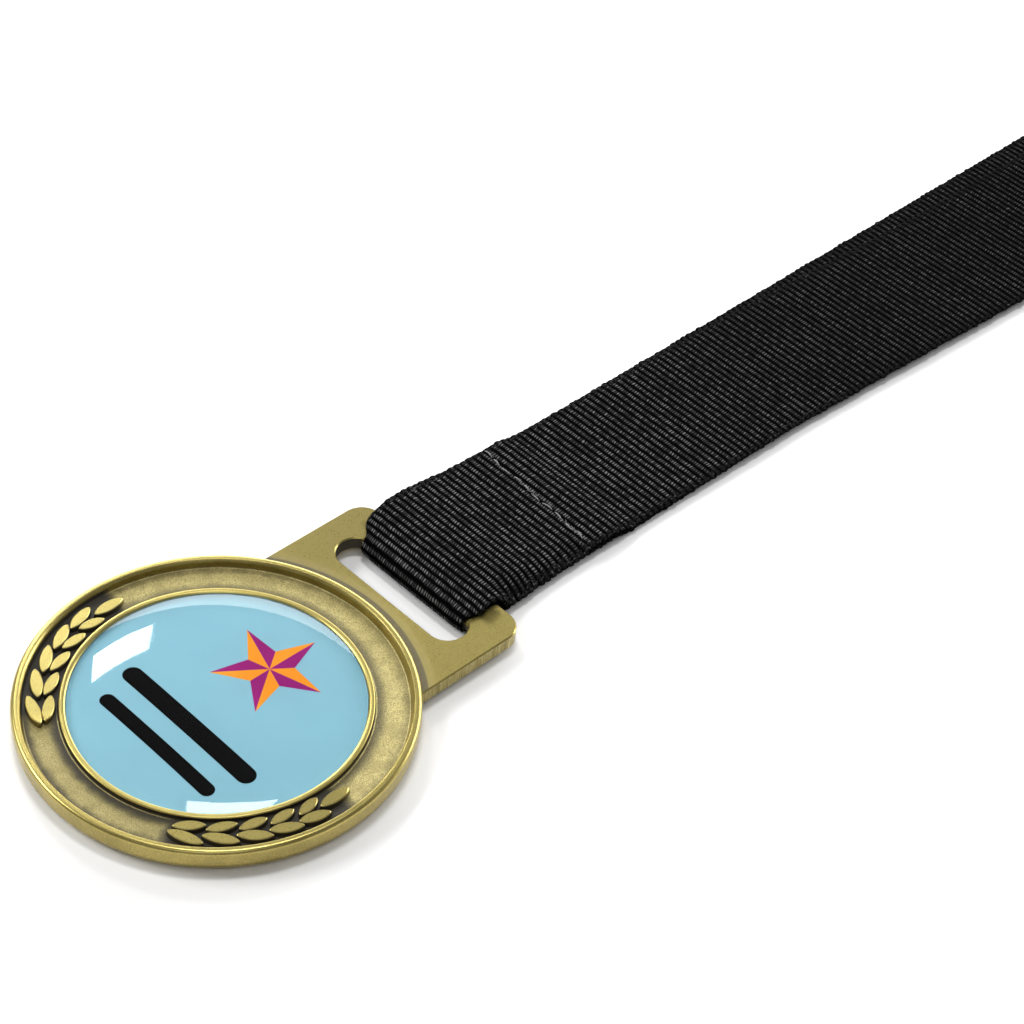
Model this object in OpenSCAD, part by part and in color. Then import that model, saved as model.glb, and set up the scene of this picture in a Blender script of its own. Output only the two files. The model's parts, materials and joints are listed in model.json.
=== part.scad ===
// Presentation medal: a round die-cast medal with a domed label in the middle and a slotted
// lug, and the neck ribbon that is sewn through the lug. The medal lies face up. The ribbon
// runs away from the lug as two legs, one on the other, and ends rolled up.
// The origin is on the underside at the centre of the disc, +Y points to the ribbon.

/* [Disc] */
// Diameter of the disc
disc_d = 50; // [40:1:70]
// Height of the rim over the surface that the medal lies on
disc_t = 3.6; // [3.4:0.1:4.5]
// Width of the raised rim
rim_w = 1.2; // [1:0.1:2]
// Depth of the channel between the rim and the bezel
channel_depth = 1.2; // [0.8:0.1:1.4]
// Radius on the rim's outer edge
edge_r = 0.5; // [0.2:0.05:0.6]
// Radius on the edge of the disc's underside
base_r = 1.6; // [0.5:0.1:2]

/* [Label] */
// Diameter of the recess for the domed label
recess_d = 36.9; // [30:0.1:40]
// Width of the bezel ring round the recess
bezel_w = 0.8; // [0.6:0.1:1.2]
// Height of the bezel over the channel
bezel_h = 0.75; // [0.5:0.05:1]
// Depth of the recess below the top of the bezel
recess_depth = 1.05; // [0.8:0.05:1.3]
// Thickness of the adhesive under the label
adhesive_t = 0.1; // [0.05:0.05:0.2]
// Thickness of the printed film
film_t = 0.15; // [0.1:0.05:0.3]
// Height of the resin at its edge
dome_edge_h = 0.65; // [0.4:0.05:0.7]
// Height of the resin in the middle, over its edge
dome_rise = 1.1; // [0.6:0.1:1.6]

/* [Laurels] */
// Number of leaves in each row of a spray
leaf_rows = 5; // [3:1:5]
// Height of the leaves over the channel
leaf_h = 0.7; // [0.4:0.05:0.8]
// Length of a leaf in the outer row
leaf_len = 4.4; // [3:0.1:5]
// Width of a leaf
leaf_w = 1.6; // [1:0.1:1.8]

/* [Lug] */
// Width of the lug
lug_w = 30.8; // [26:0.1:34]
// Distance from the centre of the disc to the outer end of the lug
lug_reach = 37.7; // [36:0.1:40]
// Radius of the lug's outer corners
lug_corner_r = 3; // [1:0.5:3]
// Length of the slot
slot_len = 22.6; // [20:0.1:24]
// Width of the slot
slot_w = 5.5; // [4:0.1:6]
// Radius of the round bar that the ribbon swings on
bar_r = 1.0; // [0.8:0.1:1.2]
// Length of the round bar between the lug's posts
bar_len = 19.6; // [18:0.1:21]

/* [Ribbon] */
// Width of the ribbon
ribbon_w = 23.4; // [20:0.1:26]
// Thickness of the ribbon
ribbon_t = 0.7; // [0.5:0.05:0.9]
// Clearance between the bar and the ribbon's sewn eye
eye_clearance = 0.08; // [0.02:0.01:0.1]
// Distance from the bar to the seam
seam_from_bar = 23; // [16:0.5:30]
// Sideways drift of the upper leg off the lower one
leg_drift = 3.8; // [0:0.1:5]
// Distance from the seam to the roll's centre
roll_from_seam = 140; // [130:1:160]
// Outer radius of the rolled-up ribbon
roll_r = 12.5; // [10:0.5:15]

/* [Thread] */
// Diameter of the sewing thread
thread_d = 0.3; // [0.2:0.05:0.4]
// Length of one stitch with the gap after it
stitch_pitch = 2.3; // [1.5:0.1:3]

/* [Hidden] */
$fn = 96;

disc_r = disc_d / 2;
rim_in_r = disc_r - rim_w;
rim_chamfer = 0.25;
floor_z = disc_t - channel_depth;
recess_r = recess_d / 2;
bezel_r = recess_r + bezel_w;
bezel_z = floor_z + bezel_h;
recess_z = bezel_z - recess_depth;
bezel_edge = 0.2;
label_r = recess_r - 0.08;      // the label drops into the recess
film_z = recess_z + adhesive_t;
resin_z = film_z + film_t;

// Leaves lie in two rows on a ring half way between the bezel and the rim.
stem_r = (bezel_r + rim_in_r) / 2 - 0.3;
spray_start = 90;               // angle of the terminal leaf from the lug
first_leaf = 99.7;              // angle of the first pair
leaf_step = 10.4;               // angle between pairs
row_gap = 0.9;                  // each row's distance from the stem
leaf_tilt = 15;                 // how far a leaf turns off the ring
inner_scale = 0.88;             // leaves of the inner row are smaller
leaf_root = 0.3;                // how deep a leaf's foot goes into the channel's floor

// The bar's centre stands one eye radius over the surface, so the ribbon lies on that surface.
eye_in_r = bar_r + eye_clearance;
eye_out_r = eye_in_r + ribbon_t;
bar_z = eye_out_r;
slot_end_r = slot_w / 2;
slot_y = 30.3;
bar_y = slot_y + slot_end_r + 0.4;
lug_t = 2 * bar_r;
lug_z = bar_z - bar_r;

// The ribbon is narrower inside the slot, and full width past the lug.
eye_w = bar_len - 0.4;
ribbon_x = -1.9;                // the ribbon lies a little to one side past the lug
seam_y = bar_y + seam_from_bar;
tab_end = seam_y + 2.6;         // cut end of the strip, folded under the bar
inner_end = seam_y - 3;         // the other cut end, sewn between the two layers
over_lug = lug_reach + 0.4;     // the upper layer stays high until it is past the lug
full_width_y = over_lug + 4;    // the ribbon reaches its full width here
roll_y = seam_y + roll_from_seam;
leg_steps = 12;                 // stations of the upper leg's gentle curve

// The seam is a straight row that leaves the ribbon's near edge free.
seam_x0 = ribbon_x - ribbon_w / 2 + 0.7;
stitch_count = 9;
seam_angle = -5;
thread_r = thread_d / 2;
stitch_len = stitch_pitch * 0.72;
groove_d = thread_d + 0.04;

// ---- medal ----

// Half section of the disc, with its rim, channel, bezel and recess
module disc_section() {
    difference() {
        union() {
            square([disc_r - base_r, floor_z]);
            translate([0, base_r]) square([disc_r, floor_z - base_r]);
            translate([disc_r - base_r, base_r]) circle(base_r);
            rim_section();
            bezel_section();
        }
        translate([0, recess_z]) square([recess_r, disc_t]);
    }
}

module rim_section() {
    low = floor_z - leaf_root;
    translate([rim_in_r, low]) square([disc_r - rim_in_r, disc_t - edge_r - low]);
    polygon([[rim_in_r, low], [rim_in_r, disc_t - rim_chamfer],
             [rim_in_r + rim_chamfer, disc_t], [disc_r - edge_r, disc_t], [disc_r - edge_r, low]]);
    translate([disc_r - edge_r, disc_t - edge_r]) circle(edge_r);
}

module bezel_section() {
    low = floor_z - leaf_root;
    translate([recess_r, low]) square([bezel_w, bezel_z - bezel_edge - low]);
    translate([recess_r, low]) square([bezel_w - bezel_edge, bezel_z - low]);
    translate([bezel_r - bezel_edge, bezel_z - bezel_edge]) circle(bezel_edge);
}

// A pointed leaf: where two round discs cross
module leaf(len, width) {
    arc_r = (pow(len / 2, 2) + pow(width / 2, 2)) / width;
    translate([0, 0, floor_z - leaf_root])
        linear_extrude(leaf_root + leaf_h)
            intersection() {
                translate([arc_r - width / 2, 0]) circle(arc_r);
                translate([width / 2 - arc_r, 0]) circle(arc_r);
            }
}

// Sets a leaf at an angle from the lug, at radius r, turned off the ring by tilt
module at_ring(angle, r, tilt) {
    rotate(-angle) translate([0, r, 0]) rotate(90 + tilt) children();
}

module laurel_spray() {
    at_ring(spray_start, stem_r, 0) leaf(leaf_len, leaf_w);
    for (i = [0 : leaf_rows - 1]) {
        angle = first_leaf + leaf_step * i;
        at_ring(angle, stem_r + row_gap, -leaf_tilt) leaf(leaf_len, leaf_w);
        at_ring(angle, stem_r - row_gap, leaf_tilt) leaf(leaf_len * inner_scale, leaf_w * inner_scale);
    }
}

module lug_outline() {
    half = lug_w / 2;
    root_y = disc_r - 5;
    difference() {
        union() {
            translate([-half, root_y]) square([lug_w, lug_reach - lug_corner_r - root_y]);
            translate([lug_corner_r - half, root_y])
                square([lug_w - 2 * lug_corner_r, lug_reach - root_y]);
            for (side = [-1, 1])
                translate([side * (half - lug_corner_r), lug_reach - lug_corner_r])
                    circle(lug_corner_r);
        }
        slot_outline();
        translate([-bar_len / 2, slot_y]) square([bar_len, lug_reach]);
    }
}

module slot_outline() {
    straight = slot_len - 2 * slot_end_r;
    translate([-straight / 2, slot_y - slot_end_r]) square([straight, slot_w]);
    for (side = [-1, 1]) translate([side * straight / 2, slot_y]) circle(slot_end_r);
}

// A cylinder along X through the bar's axis
module along_bar(r, len) {
    translate([-len / 2, bar_y, bar_z]) rotate([0, 90, 0]) cylinder(r = r, h = len);
}

module medal_casting() {
    color([0.62, 0.55, 0.28]) {
        union() {
            rotate_extrude() disc_section();
            difference() {
                translate([0, 0, lug_z]) linear_extrude(lug_t) lug_outline();
                cylinder(r = disc_r - rim_w / 2, h = disc_t);
            }
            along_bar(bar_r, bar_len + 1);
            laurel_spray();
            mirror([1, 0, 0]) laurel_spray();
        }
    }
}

// ---- label ----

module label_adhesive() {
    color([0.85, 0.85, 0.8]) translate([0, 0, recess_z]) cylinder(r = label_r, h = adhesive_t);
}

module label_print() {
    color([0.5, 0.7, 0.76]) translate([0, 0, film_z]) cylinder(r = label_r, h = film_t);
}

// Clear resin that stands higher in the middle, as a slice of a large ball
module label_dome() {
    ball_r = (pow(label_r, 2) + pow(dome_rise, 2)) / (2 * dome_rise);
    edge_z = resin_z + dome_edge_h;
    color([0.8, 0.9, 0.95, 0.4])
        rotate_extrude()
            intersection() {
                translate([0, resin_z]) square([label_r, dome_edge_h + dome_rise]);
                translate([0, edge_z + dome_rise - ball_r]) circle(ball_r, $fn = 360);
            }
}

// ---- ribbon ----

// Extrudes a section drawn in Y and Z across the ribbon, wider than the ribbon is
module across() {
    translate([-ribbon_w, 0, 0]) rotate([90, 0, 90]) linear_extrude(2 * ribbon_w) children();
}

// A layer of ribbon whose underside follows points in Y and Z
module layer(points) {
    top = [for (i = [len(points) - 1 : -1 : 0]) points[i] + [0, ribbon_t]];
    across() polygon(concat(points, top));
}

// Sideways place of the upper leg's centre, a smooth step from the seam to the roll
function drift(y) =
    let (s = max(0, min(1, (y - seam_y) / (roll_y - seam_y - 30))))
    ribbon_x + leg_drift * s * s * (3 - 2 * s);

// Plan of the sewn eye: narrow between the lug's posts, then full width
module eye_plan() {
    left = ribbon_x - ribbon_w / 2;
    right = ribbon_x + ribbon_w / 2;
    polygon([[-eye_w / 2, bar_y - eye_out_r], [-eye_w / 2, over_lug], [left, full_width_y],
             [left, tab_end], [right, tab_end], [right, full_width_y],
             [eye_w / 2, over_lug], [eye_w / 2, bar_y - eye_out_r]]);
}

module upper_leg_plan() {
    half = ribbon_w / 2;
    stations = [for (i = [0 : leg_steps]) seam_y + (roll_y - seam_y) * i / leg_steps];
    polygon(concat([for (y = stations) [drift(y) - half, y]],
                   [for (i = [leg_steps : -1 : 0]) [drift(stations[i]) + half, stations[i]]]));
}

module roll_cylinder() {
    translate([-ribbon_w / 2 - 2, roll_y, roll_r]) rotate([0, 90, 0])
        cylinder(r = roll_r, h = ribbon_w + 4);
}

// Straight groove along the seam that the stitches lie in
module seam_groove(z) {
    translate([seam_x0, seam_y, z]) rotate([0, 0, seam_angle])
        translate([-stitch_len, -groove_d / 2, 0])
            cube([stitch_pitch * (stitch_count + 1), groove_d, groove_d]);
}

// The strip from its cut end, under the bar, round it and back to the seam
module ribbon_eye() {
    top_z = bar_z + eye_in_r;
    sewn_z = 2 * ribbon_t;
    color([0.05, 0.05, 0.055])
        difference() {
            intersection() {
                linear_extrude(bar_z + eye_out_r + 1) eye_plan();
                union() {
                    difference() {
                        along_bar(eye_out_r, 2 * ribbon_w);
                        along_bar(eye_in_r, 2 * ribbon_w + 1);
                        translate([-ribbon_w - 1, bar_y, -1])
                            cube([2 * ribbon_w + 2, 2 * eye_out_r, 2 * bar_z + 2]);
                    }
                    layer([[bar_y, 0], [tab_end, 0]]);
                    layer([[bar_y, top_z], [over_lug, top_z], [inner_end, sewn_z], [seam_y, sewn_z]]);
                }
            }
            seam_groove(0);
            seam_groove(3 * ribbon_t - groove_d);
        }
}

module ribbon_upper_leg() {
    sewn_z = 2 * ribbon_t;
    color([0.06, 0.06, 0.065])
        difference() {
            intersection() {
                linear_extrude(3 * ribbon_t + 1) upper_leg_plan();
                layer([[seam_y, sewn_z], [tab_end + 1, sewn_z], [tab_end + 4, ribbon_t],
                       [roll_y, ribbon_t]]);
            }
            roll_cylinder();
            seam_groove(3 * ribbon_t - groove_d);
        }
}

module ribbon_lower_leg() {
    color([0.045, 0.045, 0.05])
        difference() {
            intersection() {
                translate([ribbon_x - ribbon_w / 2, inner_end, 0])
                    cube([ribbon_w, roll_y - inner_end, 3 * ribbon_t]);
                layer([[inner_end, ribbon_t], [tab_end + 0.5, ribbon_t], [tab_end + 3, 0],
                       [roll_y, 0]]);
            }
            roll_cylinder();
        }
}

module ribbon_roll() {
    color([0.055, 0.055, 0.06]) roll_cylinder();
}

// ---- seam ----

// One row of stitches, each a straight piece of thread, centred at height z
module stitch_row(z, shift) {
    translate([seam_x0, seam_y, z]) rotate([0, 0, seam_angle])
        for (i = [0 : stitch_count - 1])
            translate([stitch_pitch * i + shift, 0, 0]) rotate([0, 90, 0])
                cylinder(r = thread_r, h = stitch_len, $fn = 24);
}

module needle_thread() {
    color([0.42, 0.42, 0.43]) stitch_row(3 * ribbon_t - groove_d + thread_r, 0);
}

module bobbin_thread() {
    color([0.2, 0.2, 0.21]) stitch_row(thread_r + 0.02, -stitch_pitch / 4);
}

medal_casting();
label_adhesive();
label_print();
label_dome();
ribbon_eye();
ribbon_upper_leg();
ribbon_lower_leg();
ribbon_roll();
needle_thread();
bobbin_thread();
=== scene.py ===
"""Looks of the award medal and its neck ribbon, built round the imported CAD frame.

Lengths are written in millimetres and turned into metres where a mesh is made.
"""

import json
import math
import random
from types import SimpleNamespace

import bmesh
import bpy
import numpy as np
from mathutils import Matrix, Vector


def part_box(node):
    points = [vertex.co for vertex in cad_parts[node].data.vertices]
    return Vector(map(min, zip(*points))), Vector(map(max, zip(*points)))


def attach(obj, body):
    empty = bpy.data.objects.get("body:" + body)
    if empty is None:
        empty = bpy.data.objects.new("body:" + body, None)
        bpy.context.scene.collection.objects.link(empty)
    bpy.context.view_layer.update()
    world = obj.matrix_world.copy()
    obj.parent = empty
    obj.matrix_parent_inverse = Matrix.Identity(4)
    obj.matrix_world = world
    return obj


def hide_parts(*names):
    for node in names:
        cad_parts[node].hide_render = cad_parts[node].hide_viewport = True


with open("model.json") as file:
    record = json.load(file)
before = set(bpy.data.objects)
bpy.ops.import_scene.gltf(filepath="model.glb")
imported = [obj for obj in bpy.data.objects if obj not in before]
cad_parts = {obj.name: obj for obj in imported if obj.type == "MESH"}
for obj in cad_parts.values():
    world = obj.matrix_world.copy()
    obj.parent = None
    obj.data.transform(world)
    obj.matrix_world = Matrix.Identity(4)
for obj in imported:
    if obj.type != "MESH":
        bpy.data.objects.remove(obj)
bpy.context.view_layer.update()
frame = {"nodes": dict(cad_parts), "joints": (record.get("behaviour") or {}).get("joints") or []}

MM = 0.001
rng = random.Random(7)


def box_mm(node):
    """Lowest and highest corner of a CAD node, in millimetres."""
    low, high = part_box(node)
    return low / MM, high / MM


# ---- sizes taken from the frame ----

casting_low, casting_high = box_mm("medal_casting")
eye_high = box_mm("ribbon_eye")[1]
roll_low, roll_high = box_mm("ribbon_roll")
upper_low = box_mm("ribbon_upper_leg")[0]
film_low, film_high = box_mm("label_print")
dome_high = box_mm("label_dome")[1]
needle_low, needle_high = box_mm("needle_thread")

DISC_R = -casting_low.y
RIM_Z = casting_high.z
LUG_END = casting_high.y
BAR_Y, BAR_Z = (c / MM for c in frame["joints"][0]["pos_m"][1:])

# ---- sizes of the finished surfaces ----

RIM_IN_R = DISC_R - 1.2
FLOOR_Z = RIM_Z - 1.2
RECESS_R = 18.45
BEZEL_R = 19.25
BEZEL_Z = FLOOR_Z + 0.75
RECESS_Z = film_low.z - 0.1

BASE_R = 1.6
LEAF_TOP = FLOOR_Z + 0.7

LUG_HALF = 15.4
LUG_CORNER = 3.0
LUG_LOW, LUG_HIGH = BAR_Z - 1.0, BAR_Z + 1.0
SLOT_Y, SLOT_R, SLOT_HALF = 30.3, 2.75, 11.3
POST_X = 9.8
BAR_R = 1.0

STRIP_T = 0.7
STRIP_W = 23.4
RIB = 1.08
FLOAT_W = 0.41

# Edges sharper than this stay crisp, unless a piece says otherwise.
SHARP_DEG = 32


# ---- mesh helpers ----

def add_object(name, vertices, faces, materials=(), sharp_deg=SHARP_DEG):
    """A mesh object from millimetre points, smooth except over sharp edges."""
    mesh = bpy.data.meshes.new(name)
    mesh.from_pydata([tuple(c * MM for c in v) for v in vertices], [], faces)
    for material in materials:
        mesh.materials.append(material)
    obj = bpy.data.objects.new(name, mesh)
    bpy.context.scene.collection.objects.link(obj)
    tidy_mesh(mesh, sharp_deg)
    return obj


def tidy_mesh(mesh, sharp_deg):
    """Outward normals, and smooth shading broken at edges over the limit."""
    limit = math.radians(sharp_deg)
    bm = bmesh.new()
    bm.from_mesh(mesh)
    bmesh.ops.recalc_face_normals(bm, faces=bm.faces)
    for face in bm.faces:
        face.smooth = True
    for edge in bm.edges:
        edge.smooth = len(edge.link_faces) == 2 and edge.calc_face_angle(0) < limit
    bm.to_mesh(mesh)
    bm.free()


def arc(centre, radius, start_deg, end_deg, steps):
    """Points on a round stretch of an outline."""
    angles = np.radians(np.linspace(start_deg, end_deg, steps + 1))
    return [(centre[0] + radius * math.cos(a), centre[1] + radius * math.sin(a)) for a in angles]


def lathe(name, profile, steps, materials, sharp_deg=SHARP_DEG):
    """Closed solid turned about Z, from a profile of (r, z) that starts and ends on the axis."""
    ring = profile[1:-1]
    count = len(ring)
    vertices = [(0, 0, profile[0][1])]
    for k in range(steps):
        a = 2 * math.pi * k / steps
        vertices += [(r * math.cos(a), r * math.sin(a), z) for r, z in ring]
    vertices.append((0, 0, profile[-1][1]))
    top = len(vertices) - 1
    faces = []
    for k in range(steps):
        a, b = 1 + k * count, 1 + (k + 1) % steps * count
        faces.append((0, b, a))
        faces += [(a + i, b + i, b + i + 1, a + i + 1) for i in range(count - 1)]
        faces.append((a + count - 1, b + count - 1, top))
    return add_object(name, vertices, faces, materials, sharp_deg)


def inset(outline, distance):
    """A closed anticlockwise outline moved inwards by a distance."""
    points = np.array(outline)
    before = points - np.roll(points, 1, 0)
    after = np.roll(points, -1, 0) - points
    before /= np.linalg.norm(before, axis=1)[:, None]
    after /= np.linalg.norm(after, axis=1)[:, None]
    normal_before = np.stack([-before[:, 1], before[:, 0]], 1)
    normal = normal_before + np.stack([-after[:, 1], after[:, 0]], 1)
    normal /= np.linalg.norm(normal, axis=1)[:, None]
    mitre = np.clip((normal * normal_before).sum(1), 0.4, 1)
    return points + normal * (distance / mitre)[:, None]


def stacked(name, rings):
    """Closed solid through equal rings of (x, y, z) points, with a flat face on each end."""
    count = len(rings[0])
    vertices = [tuple(p) for ring in rings for p in ring]
    faces = [tuple(reversed(range(count)))]
    for k in range(len(rings) - 1):
        a, b = k * count, (k + 1) * count
        for i in range(count):
            j = (i + 1) % count
            faces.append((a + i, a + j, b + j, b + i))
    faces.append(tuple(range(len(vertices) - count, len(vertices))))
    return add_object(name, vertices, faces)


def prism(name, outline, low, high, bevel):
    """Upright prism over an outline, with its ends' edges broken by a bevel."""
    small = inset(outline, bevel)
    rings = [(small, low), (outline, low + bevel), (outline, high - bevel), (small, high)]
    return stacked(name, [[(x, y, z) for x, y in ring] for ring, z in rings])


def tube(points, radii, sides, vertices, faces):
    """Adds a closed tube along points to lists of vertices and faces."""
    points = [Vector(p) for p in points]
    first = len(vertices)
    for k, point in enumerate(points):
        ahead = points[min(k + 1, len(points) - 1)] - points[max(k - 1, 0)]
        side = ahead.cross(Vector((0, 0, 1))).normalized()
        up = side.cross(ahead).normalized()
        for i in range(sides):
            a = 2 * math.pi * i / sides
            vertices.append(tuple(point + radii[k] * (math.cos(a) * side + math.sin(a) * up)))
    for k in range(len(points) - 1):
        a = first + k * sides
        for i in range(sides):
            j = (i + 1) % sides
            faces.append((a + i, a + j, a + sides + j, a + sides + i))
    faces.append(tuple(first + i for i in reversed(range(sides))))
    faces.append(tuple(len(vertices) - sides + i for i in range(sides)))


def union(target, pieces):
    """Melts pieces into target, so that it is one closed skin."""
    for piece in pieces:
        modifier = target.modifiers.new("join", "BOOLEAN")
        modifier.operation = "UNION"
        modifier.solver = "MANIFOLD"
        modifier.object = piece
        evaluated = target.evaluated_get(bpy.context.evaluated_depsgraph_get())
        melted = bpy.data.meshes.new_from_object(evaluated)
        target.modifiers.remove(modifier)
        target.data = melted
        bpy.data.objects.remove(piece)


# ---- shader helpers ----

class Graph:
    """Short ways to add and link the nodes of one material."""

    def __init__(self, name):
        self.material = bpy.data.materials.new(name)
        self.material.use_nodes = True
        self.tree = self.material.node_tree
        self.tree.nodes.clear()

    def add(self, kind, settings=None, **inputs):
        node = self.tree.nodes.new("ShaderNode" + kind)
        for key, value in (settings or {}).items():
            setattr(node, key, value)
        for key, value in inputs.items():
            self.put(node.inputs[key.replace("_", " ")], value)
        return node

    def put(self, socket, value):
        if isinstance(value, bpy.types.NodeSocket):
            self.tree.links.new(value, socket)
        else:
            socket.default_value = value

    def math(self, operation, a, b=0.0, clamp=False):
        node = self.add("Math", {"operation": operation, "use_clamp": clamp})
        self.put(node.inputs[0], a)
        self.put(node.inputs[1], b)
        return node.outputs[0]

    def times(self, a, b, clamp=False):
        return self.math("MULTIPLY", a, b, clamp)

    def plus(self, a, b):
        return self.math("ADD", a, b)

    def minus(self, a, b):
        return self.math("SUBTRACT", a, b)

    def larger(self, a, b):
        return self.math("MAXIMUM", a, b)

    def size(self, value):
        return self.math("ABSOLUTE", value)

    def step(self, value, start, end):
        """0 before start and 1 after end, with a smooth rise between them."""
        node = self.add("MapRange", {"interpolation_type": "SMOOTHSTEP"}, Value=value)
        low, high = (start, end) if start < end else (end, start)
        self.put(node.inputs["From Min"], low)
        self.put(node.inputs["From Max"], high)
        self.put(node.inputs["To Min"], 0.0 if start < end else 1.0)
        self.put(node.inputs["To Max"], 1.0 if start < end else 0.0)
        return node.outputs[0]

    def between(self, value, start, end, soft):
        """1 from start to end, with soft shoulders outside."""
        return self.times(self.step(value, start - soft, start), self.step(value, end + soft, end))

    def mix(self, factor, a, b):
        node = self.add("Mix", {"data_type": "RGBA"})
        self.put(node.inputs[0], factor)
        self.put(node.inputs[6], a)
        self.put(node.inputs[7], b)
        return node.outputs[2]

    def scaled(self, vector, factors):
        node = self.add("VectorMath", {"operation": "MULTIPLY"})
        self.put(node.inputs[0], vector)
        self.put(node.inputs[1], factors)
        return node.outputs[0]

    def position(self):
        """Place in the frame, in millimetres."""
        return self.scaled(self.add("TexCoord").outputs["Object"], (1 / MM, 1 / MM, 1 / MM))

    def noise(self, vector, scale, detail=2.0, roughness=0.5):
        node = self.add("TexNoise", Vector=vector, Scale=scale, Detail=detail, Roughness=roughness)
        return node.outputs[0]

    def split(self, vector):
        return self.add("SeparateXYZ", Vector=vector).outputs

    def finish(self, shader):
        self.add("OutputMaterial", Surface=shader)
        return self.material


def grey(value):
    return (value, value, value, 1.0)


# ---- materials ----

BRASS_FRESH, BRASS_WORN = (0.54, 0.44, 0.145, 1), (0.44, 0.355, 0.115, 1)
# Level faces: painted shade, a darker brass than on the rounded edges.
BRASS_LEVEL_SHADED = (0.45, 0.37, 0.118, 1)
# Upright walls: painted shade, broken up by fine noise.
WALL_SHADE_MOTTLE = (0.2, 0.155, 0.05, 1)
BLAST_LOW, BLAST_HIGH = (0.2, 0.172, 0.07, 1), (0.48, 0.415, 0.185, 1)
BLAST_CLOUD, BLAST_FOOT = (0.2, 0.168, 0.07, 1), (0.13, 0.11, 0.05, 1)
# Leaves' flat tops: painted shade, darker than the rest of the brass.
LEAF_TOP_SHADE = (0.2, 0.17, 0.06, 1)
# Painted shade on the lug's face, and a painted reflection of the black ribbon beside it.
LUG_PAINTED_SHADE, RIBBON_REFLECTION = (0.15, 0.125, 0.05, 1), (0.1, 0.078, 0.022, 1)
PATINA = (0.021, 0.017, 0.01, 1)
GROUND_BRIGHT, GROUND_DARK = (0.9, 0.82, 0.46, 1), (0.1, 0.08, 0.025, 1)
BRUSHED_DARK = (0.22, 0.175, 0.05, 1)


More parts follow.
